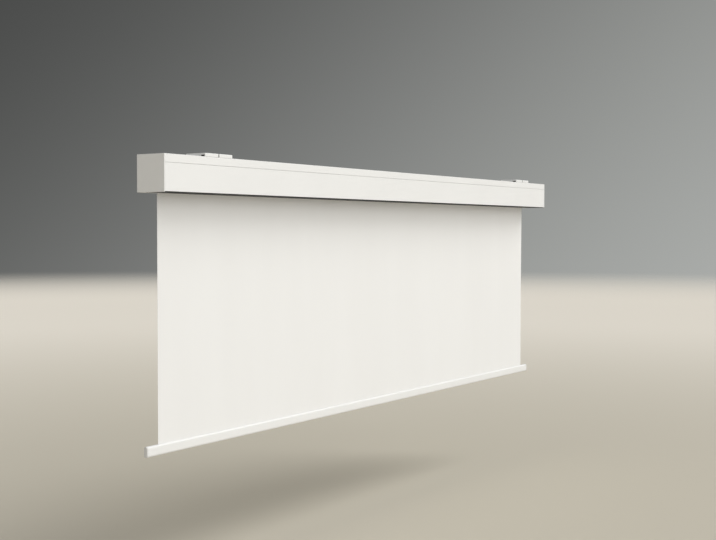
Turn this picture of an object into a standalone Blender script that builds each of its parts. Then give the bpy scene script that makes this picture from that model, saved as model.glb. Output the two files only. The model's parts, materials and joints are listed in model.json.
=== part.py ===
"""Motorised roll-down projection screen, half unrolled, hung from two roof brackets.

Metres, +Z up. X runs along the case, -Y is the viewing side. The origin lies on the
ceiling plane, midway between the two brackets and at mid depth of the case.
"""
import math

import bmesh
import bpy
from mathutils import Matrix, Vector

# Driving dimensions
CASE_MARGIN = 0.060
CASE_HEIGHT = 0.111
CASE_DEPTH = 0.111
CASE_WALL = 0.002
GROOVE_DROP = 0.0244
GROOVE_GAP = 0.0016
EDGE_RADIUS = 0.0012
END_PLATE_THICKNESS = 0.003
END_PLATE_EASE = 0.0006
CLEARANCE = 0.0003

BRACKET_LENGTH = 0.122
BRACKET_DEPTH = 0.080
BRACKET_HEIGHT = 0.0105
BRACKET_WALL = 0.003
BRACKET_INSET = 0.233
BRACKET_SPLIT = 0.0050
BRACKET_CORNER_GAP = 0.018
BRACKET_END_LIP = 0.0052

CHANNEL_FROM_FRONT = 0.025
CHANNEL_SLOT = 0.011
CHANNEL_WIDTH = 0.022
CHANNEL_HEIGHT = 0.006
CHANNEL_WALL = 0.002
FOOT_LENGTH = 0.050
FOOT_THICKNESS = 0.004
BOLT_DIAMETER = 0.006
BOLT_HEAD = 0.012
BOLT_SPACING = 0.032
CEILING_SLOT_LENGTH = 0.016
CEILING_SLOT_WIDTH = 0.0065
CEILING_SLOT_SPACING = 0.084
BRACKET_NOTCH = 0.008

PORT_BORE = 0.0052
PORT_WALL = 0.0018
PORT_SINK = 0.0004
PORT_MOUTH_ANGLE = 70
PORT_PIN_LENGTH = 0.012
FRONT_PORT_RISE = 0.022

HOOK_OVERLAP = 0.009
RIB_RISE = 0.0055
RIB_REACH = 0.006
BOTTOM_WALL = 0.0015
BOTTOM_EDGE_GAP = 0.0008
SLOT_LIP = 0.004

FABRIC_WIDTH = 2.400
FABRIC_THICKNESS = 0.00045
FABRIC_DROP = 0.7500
FABRIC_TURNS = 4
FABRIC_SLOT = 0.010

TUBE_RADIUS = 0.0315
TUBE_WALL = 0.0016
TUBE_OVERHANG = 0.015
GROOVE_BORE = 0.0046
GROOVE_WALL = 0.0010
GROOVE_MOUTH = 0.0020
SPLINE_DIAMETER = 0.0034

HEM_HEIGHT = 0.033
HEM_DEPTH = 0.014
HEM_OVERHANG = 0.052
HEM_WALL = 0.0022
HEM_CAP_THICKNESS = 0.004
HEM_CAP_SPIGOT = 0.012
HEM_CAP_ROUNDING = 0.002
HEM_ROD_DIAMETER = 0.0052
HEM_POCKET = 0.0070
HEM_SLOT = 0.0024

MOTOR_RADIUS = 0.0225
MOTOR_LENGTH = 0.560
MOTOR_NOSE_CHAMFER = 0.0022
MOTOR_HEAD_RADIUS = 0.0245
MOTOR_HEAD_LENGTH = 0.025
MOTOR_HEAD_FLAT = 0.021
MOTOR_LUG = 0.020
MOTOR_LUG_WEB = 0.008
MOTOR_LUG_BEYOND = 0.0046
CLIP_THICKNESS = 0.0012
CLIP_SIZE = 0.028
NECK_START = 0.0006
SHAFT_RADIUS = 0.007
SHAFT_LENGTH = 0.050
SHAFT_ENTRY = 0.010
SHAFT_FLAT = 0.0056
DRIVE_WHEEL_LENGTH = 0.024
DRIVE_WHEEL_HUB = 0.0125
DRIVE_WHEEL_RIM = 0.0080
DRIVE_WHEEL_WINDOWS = 6
DRIVE_WHEEL_SPOKE = 0.0045
CROWN_LENGTH = 0.018
FLANGE_THICKNESS = 0.0025
RUNNING_GAP = 0.0005

BEARING_RADIUS = 0.014
BEARING_WIDTH = 0.009
BEARING_DEPTH = 0.0005
PIN_RADIUS = 0.006
PIN_COLLAR_RADIUS = 0.009
PIN_COLLAR_LENGTH = 0.004
PIN_SQUARE = 0.010
PIN_BEYOND = 0.003
PIN_TIP_CHAMFER = 0.0015
PIN_RELIEF = 0.002
IDLER_PLUG_LENGTH = 0.038

CARRIER_THICKNESS = 0.0025
CARRIER_WIDTH = 0.060
CARRIER_HEIGHT = 0.078
CARRIER_FLANGE = 0.008
BOSS_HEIGHT = 0.006
BOSS_RADIUS = 0.0055
SCREW_DIAMETER = 0.0035
SCREW_HEAD = 0.0070
SCREW_HEAD_TOP = 0.0056
SCREW_HEAD_HEIGHT = 0.0026
SCREW_HOLE_SINK = 0.001
SCREW_SPACING = 0.064

LIMIT_SCREW_DIAMETER = 0.0052
LIMIT_SCREW_SPACING = 0.011
LIMIT_SCREW_DEPTH = 0.009
LIMIT_SCREW_STANDS = 0.0012
LIMIT_SCREW_SOCKET = 0.0030
LIMIT_SCREW_SOCKET_DEPTH = 0.0030

GLAND_BORE = 0.0075
GLAND_THREAD = 0.0120
GLAND_HEX = 0.016
GLAND_HEX_HEIGHT = 0.005
GLAND_DOME = 0.006
GLAND_DOME_SWEEP = 80
GLAND_NUT_HEIGHT = 0.004
GLAND_FROM_TOP = 0.018
GLAND_FROM_BACK = 0.018

FACETS = 48
BORE_FACETS = 32
SMALL_FACETS = 20
ROD_FACETS = 16
HOLE_FACETS = 12
OVAL_STEPS = 12
NARROW_OVAL_STEPS = 8
NOTCH_STEPS = 14
PORT_STEPS = 10
WINDOW_STEPS = 6
DOME_STEPS = 5
CORNER_STEPS = 3
SAME_PLACE = 0.00001

# Places worked out from the driving dimensions
ROOF_Z = -BRACKET_HEIGHT - CLEARANCE
FLOOR_Z = ROOF_Z - CASE_HEIGHT
FRONT_Y = -CASE_DEPTH / 2
BACK_Y = CASE_DEPTH / 2
AXIS_Z = ROOF_Z - CASE_HEIGHT / 2
END_X = FABRIC_WIDTH / 2 + CASE_MARGIN
PLATE_X = END_X - END_PLATE_THICKNESS
SHELL_X = PLATE_X - CLEARANCE
ROLL_INNER = TUBE_RADIUS + CLEARANCE
ROLL_RADIUS = ROLL_INNER + FABRIC_TURNS * FABRIC_THICKNESS
FABRIC_Y = ROLL_RADIUS + CLEARANCE + FABRIC_THICKNESS / 2
HEM_HALF_LENGTH = FABRIC_WIDTH / 2 + HEM_OVERHANG
HEM_TOP_Z = FLOOR_Z - FABRIC_DROP
HEM_CENTRE_Z = HEM_TOP_Z - HEM_HEIGHT / 2
HEM_POCKET_Z = HEM_TOP_Z - HEM_WALL - HEM_POCKET / 2
FABRIC_BOTTOM_Z = HEM_POCKET_Z + HEM_ROD_DIAMETER / 2 + CLEARANCE
TUBE_X = FABRIC_WIDTH / 2 + TUBE_OVERHANG
CARRIER_X = PLATE_X - BOSS_HEIGHT - CLEARANCE
BRACKET_CENTRE_X = END_X - BRACKET_INSET
CHANNEL_Y = FRONT_Y + CHANNEL_FROM_FRONT
CEILING_SLOT_Y = FRONT_Y + BRACKET_DEPTH / 2
CHANNEL_FLOOR_Z = ROOF_Z - CASE_WALL - CHANNEL_HEIGHT
MOTOR_HEAD_X = CARRIER_X - CARRIER_THICKNESS - CLEARANCE
MOTOR_FACE_X = MOTOR_HEAD_X - MOTOR_HEAD_LENGTH - CLEARANCE
MOTOR_NOSE_X = MOTOR_FACE_X - MOTOR_LENGTH
SHAFT_END_X = MOTOR_NOSE_X + SHAFT_ENTRY - SHAFT_LENGTH


# Shape helpers
def clear_scene():
    for item in list(bpy.data.objects):
        bpy.data.objects.remove(item, do_unlink=True)


def material(name, colour, roughness, metallic=0.0):
    found = bpy.data.materials.get(name)
    if found:
        return found
    made = bpy.data.materials.new(name)
    made.use_nodes = True
    shader = made.node_tree.nodes["Principled BSDF"]
    shader.inputs["Base Color"].default_value = (*colour, 1.0)
    shader.inputs["Roughness"].default_value = roughness
    shader.inputs["Metallic"].default_value = metallic
    return made


def white_paint():
    return material("white_paint", (0.86, 0.86, 0.84), 0.35)


def white_plastic():
    return material("white_plastic", (0.84, 0.84, 0.82), 0.45)


def black_paint():
    return material("black_paint", (0.03, 0.03, 0.032), 0.6)


def bare_aluminium():
    return material("bare_aluminium", (0.72, 0.73, 0.74), 0.35, 1.0)


def zinc_steel():
    return material("zinc_steel", (0.6, 0.61, 0.63), 0.3, 1.0)


def black_plastic():
    return material("black_plastic", (0.04, 0.04, 0.042), 0.5)


def screen_fabric():
    return material("screen_fabric", (0.88, 0.88, 0.86), 0.85)


def make_object(name, shape, finish):
    """A named object at the origin from a bmesh, with outward faces and crisp edges."""
    bmesh.ops.recalc_face_normals(shape, faces=shape.faces)
    mesh = bpy.data.meshes.new(name)
    shape.to_mesh(mesh)
    shape.free()
    made = bpy.data.objects.new(name, mesh)
    bpy.context.scene.collection.objects.link(made)
    mesh.materials.append(finish)
    mesh.shade_smooth()
    mesh.set_sharp_from_angle(angle=math.radians(30))
    return made


def prism(name, outline, x_low, x_high, finish):
    """The closed (y, z) outline drawn out along X."""
    shape = bmesh.new()
    ring = [shape.verts.new((x_low, y, z)) for y, z in outline]
    face = shape.faces.new(ring)
    drawn = bmesh.ops.extrude_face_region(shape, geom=[face])
    moved = [item for item in drawn["geom"] if isinstance(item, bmesh.types.BMVert)]
    bmesh.ops.translate(shape, vec=(x_high - x_low, 0, 0), verts=moved)
    return make_object(name, shape, finish)


def turned(name, profile, finish, axis_z=AXIS_Z, axis_y=0.0, facets=FACETS):
    """The (x, radius) profile turned about a line along X. A closed ring unless it meets the axis."""
    shape = bmesh.new()
    points = [shape.verts.new((x, 0, radius)) for x, radius in profile]
    pairs = list(zip(points, points[1:]))
    if profile[0][1] > 0 or profile[-1][1] > 0:
        pairs.append((points[-1], points[0]))
    edges = [shape.edges.new(pair) for pair in pairs]
    bmesh.ops.spin(
        shape, geom=points + edges, cent=(0, 0, 0), axis=(1, 0, 0),
        angle=2 * math.pi, steps=facets, use_merge=True,
    )
    bmesh.ops.remove_doubles(shape, verts=shape.verts, dist=1e-6)
    bmesh.ops.translate(shape, vec=(0, axis_y, axis_z), verts=shape.verts)
    return make_object(name, shape, finish)


def stand_upright(made, x, y, z):
    """Turns a piece that was made along +X at the origin so that it points up, at a place."""
    made.data.transform(Matrix.Translation((x, y, z)) @ Matrix.Rotation(-math.pi / 2, 4, "Y"))
    return made


def combine(body, other, operation):
    """Joins other to body or cuts it away, and keeps one clean mesh."""
    step = body.modifiers.new(operation, "BOOLEAN")
    step.operation = operation
    step.solver = "EXACT"
    step.object = other
    other.hide_render = True
    other.display_type = "WIRE"
    bpy.context.view_layer.update()
    solid = body.evaluated_get(bpy.context.evaluated_depsgraph_get())
    result = bpy.data.meshes.new_from_object(solid)
    old = body.data
    finish = old.materials[0]
    body.modifiers.clear()
    body.data = result
    result.name = body.name
    result.materials.clear()
    result.materials.append(finish)
    bpy.data.meshes.remove(old)
    bpy.data.objects.remove(other, do_unlink=True)
    result.shade_smooth()
    result.set_sharp_from_angle(angle=math.radians(30))
    return body


def cut(body, other):
    return combine(body, other, "DIFFERENCE")


def fuse(body, other):
    return combine(body, other, "UNION")


def arc(centre, radius, start, end, steps):
    """Points along an arc, angles in degrees, from +Y towards +Z."""
    found = []
    for step in range(steps + 1):
        angle = math.radians(start + (end - start) * step / steps)
        found.append((centre[0] + radius * math.cos(angle), centre[1] + radius * math.sin(angle)))
    return found


def circle(centre, radius, steps):
    return arc(centre, radius, 0, 360, steps)[:-1]


def rectangle(y_low, y_high, z_low, z_high):
    return [(y_low, z_low), (y_high, z_low), (y_high, z_high), (y_low, z_high)]


def wall_outline(path, thickness):
    """The outline of a bent strip of even thickness whose middle line is the path."""
    points = [Vector(point) for point in path]
    sides = []
    for index, point in enumerate(points):
        before = (point - points[index - 1]).normalized() if index else None
        after = (points[index + 1] - point).normalized() if index + 1 < len(points) else None
        before = before or after
        after = after or before
        across = Vector((-before.y - after.y, before.x + after.x)).normalized()
        reach = thickness / 2 / across.dot(Vector((-after.y, after.x)))
        sides.append(across * reach)
    left = [point + side for point, side in zip(points, sides)]
    right = [point - side for point, side in zip(points, sides)]
    return [tuple(point) for point in left + right[::-1]]


def soften(outline, corners, radius):
    """The outline with an arc in place of each of the named corner points."""
    found = []
    for index, point in enumerate(outline):
        if point not in corners:
            found.append(point)
            continue
        here = Vector(point)
        before = (Vector(outline[index - 1]) - here).normalized() * radius
        after = (Vector(outline[(index + 1) % len(outline)]) - here).normalized() * radius
        centre = here + before + after
        for step in range(CORNER_STEPS + 1):
            angle = math.radians(90 * step / CORNER_STEPS)
            found.append(tuple(centre - after * math.cos(angle) - before * math.sin(angle)))
    return found


def stadium(centre, depth, height, steps):
    """A flat oval outline, tall along Z."""
    radius = depth / 2
    rise = height / 2 - radius
    top = arc((centre[0], centre[1] + rise), radius, 0, 180, steps)
    foot = arc((centre[0], centre[1] - rise), radius, 180, 360, steps)
    return top + foot


# The case
def port_centres():
    """Where the screw ports of the case lie, as (y, z), keyed by corner."""
    inset = CASE_WALL + PORT_WALL + PORT_BORE / 2 - PORT_SINK
    return {
        "top_front": (FRONT_Y + inset, ROOF_Z - inset),
        "top_back": (BACK_Y - inset, ROOF_Z - inset),
        "low_back": (BACK_Y - inset, FLOOR_Z + inset),
        "low_front": (FRONT_Y + inset, FLOOR_Z + FRONT_PORT_RISE),
    }


def port(corner, mouth):
    """A C-shaped screw port along the case, its mouth facing the given angle."""
    middle = (PORT_BORE + PORT_WALL) / 2
    start = mouth + PORT_MOUTH_ANGLE / 2
    path = arc(port_centres()[corner], middle, start, start + 360 - PORT_MOUTH_ANGLE, PORT_STEPS)
    return prism("port", wall_outline(path, PORT_WALL), -SHELL_X, SHELL_X, white_paint())


def case_body_profile():
    """Roof with its bracket channel, front upper strip, rear wall and rear slot lip."""
    roof_under = ROOF_Z - CASE_WALL
    floor_inside = FLOOR_Z + CASE_WALL
    strip_end = ROOF_Z - GROOVE_DROP
    slot_back = FABRIC_Y + FABRIC_SLOT / 2
    mouth = CHANNEL_SLOT / 2
    inner = CHANNEL_WIDTH / 2
    outer = inner + CHANNEL_WALL
    channel_under = CHANNEL_FLOOR_Z - CHANNEL_WALL
    outside = [
        (FRONT_Y, strip_end),
        (FRONT_Y, ROOF_Z),
        (CHANNEL_Y - mouth, ROOF_Z),
        (CHANNEL_Y - mouth, roof_under),
        (CHANNEL_Y - inner, roof_under),
        (CHANNEL_Y - inner, CHANNEL_FLOOR_Z),
        (CHANNEL_Y + inner, CHANNEL_FLOOR_Z),
        (CHANNEL_Y + inner, roof_under),
        (CHANNEL_Y + mouth, roof_under),
        (CHANNEL_Y + mouth, ROOF_Z),
        (BACK_Y, ROOF_Z),
        (BACK_Y, FLOOR_Z),
        (slot_back, FLOOR_Z),
        (slot_back, floor_inside + SLOT_LIP),
    ]
    inside = [
        (slot_back + CASE_WALL, floor_inside + SLOT_LIP),
        (slot_back + CASE_WALL, floor_inside),
        (BACK_Y - CASE_WALL, floor_inside),
        (BACK_Y - CASE_WALL, roof_under),
        (CHANNEL_Y + outer, roof_under),
        (CHANNEL_Y + outer, channel_under),
        (CHANNEL_Y - outer, channel_under),
        (CHANNEL_Y - outer, roof_under),
        (FRONT_Y + CASE_WALL, roof_under),
        (FRONT_Y + CASE_WALL, strip_end),
    ]
    edges = [(FRONT_Y, ROOF_Z), (BACK_Y, ROOF_Z), (BACK_Y, FLOOR_Z)]
    outline = soften(outside + inside, edges, EDGE_RADIUS)
    body = prism("case_body_profile", outline, -SHELL_X, SHELL_X, white_paint())
    for corner, mouth_angle in (("top_front", 315), ("top_back", 225), ("low_back", 135)):
        fuse(body, port(corner, mouth_angle))
    return body


def case_front_panel():
    """Front wall from the groove to the bottom panel, with a flange behind the strip and a rib."""
    face_y = FRONT_Y + CASE_WALL / 2
    flange_y = FRONT_Y + CASE_WALL + CLEARANCE + CASE_WALL / 2
    shoulder_z = ROOF_Z - GROOVE_DROP - GROOVE_GAP - CASE_WALL / 2
    path = [
        (flange_y, ROOF_Z - GROOVE_DROP + HOOK_OVERLAP),
        (flange_y, shoulder_z),
        (face_y, shoulder_z),
        (face_y, FLOOR_Z + BOTTOM_WALL + BOTTOM_EDGE_GAP),
    ]
    panel = prism("case_front_panel", wall_outline(path, CASE_WALL), -SHELL_X, SHELL_X, white_paint())
    rib_path = [(face_y, FLOOR_Z + RIB_RISE), (FRONT_Y + CASE_WALL + RIB_REACH, FLOOR_Z + RIB_RISE)]
    fuse(panel, prism("rib", wall_outline(rib_path, BOTTOM_WALL), -SHELL_X, SHELL_X, white_paint()))
    return fuse(panel, port("low_front", 0))


def case_bottom_panel():
    """Dark closing panel, flush with the case front, that hangs by a hook on the front panel's rib."""
    flat_z = FLOOR_Z + BOTTOM_WALL / 2
    inside = FRONT_Y + CASE_WALL + CLEARANCE
    back = FABRIC_Y - FABRIC_SLOT / 2 - BOTTOM_WALL / 2
    path = [(FRONT_Y, flat_z), (back, flat_z), (back, flat_z + SLOT_LIP)]
    panel = prism("case_bottom_panel", wall_outline(path, BOTTOM_WALL), -SHELL_X, SHELL_X, black_paint())
    hook_y = FRONT_Y + CASE_WALL + RIB_REACH + CLEARANCE + BOTTOM_WALL / 2
    lip_z = FLOOR_Z + RIB_RISE + BOTTOM_WALL + CLEARANCE
    hook_path = [(inside + CLEARANCE, lip_z), (hook_y, lip_z), (hook_y, flat_z)]
    hook = prism("hook", wall_outline(hook_path, BOTTOM_WALL), -SHELL_X, SHELL_X, black_paint())
    return fuse(panel, hook)


def ease_outer_rim(piece, outer_x, width, segments):
    """Rounds the rim of the face of a piece that lies at outer_x."""
    shape = bmesh.new()
    shape.from_mesh(piece.data)
    rim = [edge for edge in shape.edges if all(abs(v.co.x - outer_x) < SAME_PLACE for v in edge.verts)]
    bmesh.ops.bevel(shape, geom=rim, offset=width, segments=segments, profile=0.5, affect="EDGES",
                    clamp_overlap=True)
    shape.to_mesh(piece.data)
    shape.free()
    piece.data.shade_smooth()
    piece.data.set_sharp_from_angle(angle=math.radians(30))


def case_end_plate(name, side):
    """Flat end plate with pins for the screw ports and bosses for the roller carrier."""
    def span(low, high):
        return sorted((side * low, side * high))

    outline = rectangle(FRONT_Y, BACK_Y, FLOOR_Z, ROOF_Z)
    plate = prism(name, soften(outline, outline, EDGE_RADIUS), *span(PLATE_X, END_X), white_paint())
    ease_outer_rim(plate, side * END_X, END_PLATE_EASE, 2)
    for centre in port_centres().values():
        pin = circle(centre, PORT_BORE / 2 - CLEARANCE, HOLE_FACETS)
        fuse(plate, prism("pin", pin, *span(PLATE_X - PORT_PIN_LENGTH, PLATE_X + CLEARANCE), white_paint()))
    for rise in (-SCREW_SPACING / 2, SCREW_SPACING / 2):
        centre = (0, AXIS_Z + rise)
        boss = circle(centre, BOSS_RADIUS, SMALL_FACETS)
        hole = circle(centre, SCREW_DIAMETER / 2 + CLEARANCE, HOLE_FACETS)
        boss_x = PLATE_X - BOSS_HEIGHT
        fuse(plate, prism("boss", boss, *span(boss_x, PLATE_X + CLEARANCE), white_paint()))
        depth = span(boss_x - CLEARANCE, PLATE_X + SCREW_HOLE_SINK)
        cut(plate, prism("hole", hole, *depth, white_paint()))
    return plate


def gland_centre():
    return (BACK_Y - GLAND_FROM_BACK, ROOF_Z - GLAND_FROM_TOP)


def hexagon(centre, across_flats):
    return circle(centre, across_flats / 2 / math.cos(math.radians(30)), 6)


def power_gland(end_plate):
    """Cable gland through the motor-side end plate, with its nut inside. No cord is fitted."""
    y, z = gland_centre()
    thread = GLAND_THREAD / 2
    bore = GLAND_BORE / 2
    cut(end_plate, prism("gland_hole", circle((y, z), thread + CLEARANCE, SMALL_FACETS),
                         PLATE_X - CLEARANCE, END_X + CLEARANCE, white_paint()))
    seat_x = END_X + CLEARANCE
    tip_x = PLATE_X - GLAND_NUT_HEIGHT - 3 * CLEARANCE
    dome_x = seat_x + GLAND_HEX_HEIGHT
    body = prism("cable_gland", hexagon((y, z), GLAND_HEX), seat_x, dome_x, black_plastic())
    stem = circle((y, z), thread, SMALL_FACETS)
    fuse(body, prism("thread", stem, tip_x, seat_x + CLEARANCE, black_plastic()))
    dome = [(dome_x - CLEARANCE, 0), (dome_x - CLEARANCE, thread)]
    rounding = arc((bore, 0), thread - bore, 0, GLAND_DOME_SWEEP, DOME_STEPS)[:-1]
    dome += [(dome_x + rise, radius) for radius, rise in rounding]
    dome += [(dome_x + GLAND_DOME, bore), (dome_x + GLAND_DOME, 0)]
    fuse(body, turned("dome", dome, black_plastic(), z, y, SMALL_FACETS))
    cut(body, prism("bore", circle((y, z), bore, SMALL_FACETS),
                    tip_x - CLEARANCE, dome_x + GLAND_DOME + CLEARANCE, black_plastic()))
    nut_x = PLATE_X - CLEARANCE
    nut = prism("gland_nut", hexagon((y, z), GLAND_HEX), nut_x - GLAND_NUT_HEIGHT, nut_x, black_plastic())
    cut(nut, prism("nut_bore", circle((y, z), thread + CLEARANCE, SMALL_FACETS),
                   nut_x - GLAND_NUT_HEIGHT - CLEARANCE, nut_x + CLEARANCE, black_plastic()))
    return body, nut


# The roller
def groove_centre():
    return (0.0, AXIS_Z + TUBE_RADIUS - GROOVE_WALL - GROOVE_BORE / 2)


def axis_circle(radius, facets=FACETS):
    return circle((0.0, AXIS_Z), radius, facets)


def round_with_notch(radius, notch_radius, half_mouth):
    """A circle about the roller axis that opens, by a mouth, into a round notch at the groove."""
    lean = math.degrees(math.asin(half_mouth / radius))
    neck = math.degrees(math.asin(half_mouth / notch_radius))
    rim = arc((0.0, AXIS_Z), radius, 90 + lean, 450 - lean, FACETS)
    notch = arc(groove_centre(), notch_radius, 90 - neck, neck - 270, NOTCH_STEPS)
    if math.dist(rim[-1], notch[0]) < SAME_PLACE:
        notch = notch[1:-1]
    return rim + notch


def keyed_outline(shrink):
    """The inside of the roller tube with the bulge of its fabric groove, moved in by shrink."""
    radius = TUBE_RADIUS - TUBE_WALL - shrink
    notch = GROOVE_BORE / 2 + GROOVE_WALL + shrink
    reach = groove_centre()[1] - AXIS_Z
    along = (radius ** 2 - reach ** 2 - notch ** 2) / (2 * reach)
    return round_with_notch(radius, notch, math.sqrt(notch ** 2 - along ** 2))


def keyed_disc(name, x_low, x_high, finish):
    """A disc that fits inside the roller tube, notched for the tube's fabric groove."""
    return prism(name, keyed_outline(CLEARANCE), x_low, x_high, finish)


def roller_tube():
    finish = bare_aluminium()
    past = TUBE_X + CLEARANCE
    outline = round_with_notch(TUBE_RADIUS, GROOVE_BORE / 2, GROOVE_MOUTH / 2)
    tube = prism("roller_tube", outline, -TUBE_X, TUBE_X, finish)
    return cut(tube, prism("inside", keyed_outline(0), -past, past, finish))


def fabric_roll():
    half = FABRIC_WIDTH / 2
    profile = [(-half, ROLL_INNER), (-half, ROLL_RADIUS), (half, ROLL_RADIUS), (half, ROLL_INNER)]
    return turned("fabric_roll", profile, screen_fabric())


def fabric_spline():
    half = FABRIC_WIDTH / 2
    rod = circle(groove_centre(), SPLINE_DIAMETER / 2, HOLE_FACETS)
    return prism("fabric_spline", rod, -half, half, white_plastic())


def fabric_sheet():
    thickness = FABRIC_THICKNESS / 2
    outline = rectangle(FABRIC_Y - thickness, FABRIC_Y + thickness, FABRIC_BOTTOM_Z, AXIS_Z)
    return prism("fabric_sheet", outline, -FABRIC_WIDTH / 2, FABRIC_WIDTH / 2, screen_fabric())


# The idler end
def idler_plug():
    """Plug in the left end of the tube, with a flange and a seat for the bearing."""
    finish = black_plastic()
    flange_x = -TUBE_X - CLEARANCE
    outer_x = flange_x - FLANGE_THICKNESS
    inner_x = -TUBE_X + IDLER_PLUG_LENGTH
    plug = keyed_disc("idler_plug", flange_x - CLEARANCE, inner_x, finish)
    fuse(plug, prism("flange", axis_circle(TUBE_RADIUS), outer_x, flange_x, finish))
    seat_end = outer_x + BEARING_DEPTH + BEARING_WIDTH + CLEARANCE
    seat = axis_circle(BEARING_RADIUS + CLEARANCE, BORE_FACETS)
    cut(plug, prism("seat", seat, outer_x - CLEARANCE, seat_end, finish))
    relief = axis_circle(PIN_RADIUS + PIN_RELIEF, BORE_FACETS)
    return cut(plug, prism("relief", relief, outer_x, inner_x + CLEARANCE, finish))


def idler_bearing():
    start = -TUBE_X - CLEARANCE - FLANGE_THICKNESS + BEARING_DEPTH
    inner = PIN_RADIUS + CLEARANCE
    end = start + BEARING_WIDTH
    profile = [(start, inner), (start, BEARING_RADIUS), (end, BEARING_RADIUS), (end, inner)]
    return turned("idler_bearing", profile, zinc_steel(), facets=BORE_FACETS)


def idler_pin():
    """Fixed pin: squared end in the carrier, collar, and the round end in the bearing."""
    finish = zinc_steel()
    collar_out = -(CARRIER_X - CARRIER_THICKNESS - CLEARANCE)
    collar_in = collar_out + PIN_COLLAR_LENGTH
    tip = -TUBE_X + IDLER_PLUG_LENGTH / 2
    profile = [(collar_out, 0), (collar_out, PIN_COLLAR_RADIUS), (collar_in, PIN_COLLAR_RADIUS),
               (collar_in, PIN_RADIUS), (tip - PIN_TIP_CHAMFER, PIN_RADIUS),
               (tip, PIN_RADIUS - PIN_TIP_CHAMFER), (tip, 0)]
    pin = turned("idler_pin", profile, finish, facets=BORE_FACETS)
    half = PIN_SQUARE / 2
    square = rectangle(-half, half, AXIS_Z - half, AXIS_Z + half)
    return fuse(pin, prism("square", square, -CARRIER_X - PIN_BEYOND, collar_out + CLEARANCE, finish))


def carrier(name, side, opening):
    """Pressed steel plate with two stiffening flanges, screwed to the end plate's bosses."""
    finish = zinc_steel()

    def span(low, high):
        return sorted((side * low, side * high))

    half = CARRIER_WIDTH / 2
    low, high = AXIS_Z - CARRIER_HEIGHT / 2, AXIS_Z + CARRIER_HEIGHT / 2
    inner_x = CARRIER_X - CARRIER_THICKNESS
    plate = prism(name, rectangle(-half, half, low, high), *span(inner_x, CARRIER_X), finish)
    for edge in (-half, half - CARRIER_THICKNESS):
        flange = rectangle(edge, edge + CARRIER_THICKNESS, low, high)
        fuse(plate, prism("flange", flange, *span(inner_x - CARRIER_FLANGE, CARRIER_X), finish))
    through = span(inner_x - CLEARANCE, CARRIER_X + CLEARANCE)
    cut(plate, prism("opening", opening, *through, finish))
    for rise in (-SCREW_SPACING / 2, SCREW_SPACING / 2):
        hole = circle((0, AXIS_Z + rise), SCREW_DIAMETER / 2 + CLEARANCE, HOLE_FACETS)
        cut(plate, prism("hole", hole, *through, finish))
    return plate


def carrier_screw(name, side, rise):
    head_x = CARRIER_X - CARRIER_THICKNESS - CLEARANCE
    top_x = head_x - SCREW_HEAD_HEIGHT
    tip_x = PLATE_X + CLEARANCE
    head, shank = SCREW_HEAD / 2, SCREW_DIAMETER / 2
    profile = [(top_x, 0), (top_x, SCREW_HEAD_TOP / 2), (top_x + SCREW_HEAD_HEIGHT / 2, head),
               (head_x, head), (head_x, shank), (tip_x, shank), (tip_x, 0)]
    profile = [(side * x, radius) for x, radius in profile]
    return turned(name, profile, zinc_steel(), AXIS_Z + rise, 0.0, HOLE_FACETS)


# The motor end
def plus_outline(across, web, grow):
    """A plus shape about the roller axis, each side moved out by grow."""
    long, short = across / 2 + grow, web / 2 + grow
    corner = [(long, -short), (long, short), (short, short)]
    found = []
    for quarter in range(4):
        turn = Matrix.Rotation(quarter * math.pi / 2, 2)
        found += [turn @ Vector(point) for point in corner]
    return [(point.x, AXIS_Z + point.y) for point in found]


def motor_housing():
    """Closed tubular motor, with a bored nose that its output shaft comes out of."""
    bore = SHAFT_RADIUS + RUNNING_GAP
    bottom = MOTOR_NOSE_X + SHAFT_ENTRY + CLEARANCE
    shoulder = MOTOR_NOSE_X + MOTOR_NOSE_CHAMFER
    rim = MOTOR_RADIUS - MOTOR_NOSE_CHAMFER
    profile = [(MOTOR_FACE_X, 0), (MOTOR_FACE_X, MOTOR_RADIUS), (shoulder, MOTOR_RADIUS),
               (MOTOR_NOSE_X, rim), (MOTOR_NOSE_X, bore), (bottom, bore), (bottom, 0)]
    return turned("motor_housing", profile, zinc_steel())


def motor_head():
    """Fixed head with a flat for the limit screws and a plus-shaped lug for the carrier."""
    finish = black_plastic()
    inner_x = MOTOR_HEAD_X - MOTOR_HEAD_LENGTH
    head = prism("motor_head", axis_circle(MOTOR_HEAD_RADIUS), inner_x, MOTOR_HEAD_X, finish)
    flat_z = AXIS_Z - MOTOR_HEAD_FLAT
    below = rectangle(-MOTOR_HEAD_RADIUS, MOTOR_HEAD_RADIUS, flat_z - MOTOR_HEAD_RADIUS, flat_z)
    cut(head, prism("flat", below, inner_x - CLEARANCE, MOTOR_HEAD_X + CLEARANCE, finish))
    neck_low = CARRIER_X + NECK_START
    neck_high = neck_low + CLIP_THICKNESS + 2 * CLEARANCE
    plus = plus_outline(MOTOR_LUG, MOTOR_LUG_WEB, 0)
    half = MOTOR_LUG_WEB / 2
    square = rectangle(-half, half, AXIS_Z - half, AXIS_Z + half)
    fuse(head, prism("lug", plus, MOTOR_HEAD_X - CLEARANCE, neck_low, finish))
    fuse(head, prism("neck", square, neck_low - CLEARANCE, neck_high + CLEARANCE, finish))
    fuse(head, prism("lug_end", plus, neck_high, CARRIER_X + MOTOR_LUG_BEYOND, finish))
    for side in (-1, 1):
        hole = circle((0, 0), LIMIT_SCREW_DIAMETER / 2 + CLEARANCE, ROD_FACETS)
        hole = prism("hole", hole, -CLEARANCE, LIMIT_SCREW_DEPTH + CLEARANCE, finish)
        x, y = limit_screw_place(side)
        cut(head, stand_upright(hole, x, y, flat_z))
    return head


def limit_screw_place(side):
    return (MOTOR_HEAD_X - MOTOR_HEAD_LENGTH / 2, side * LIMIT_SCREW_SPACING / 2)


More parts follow.
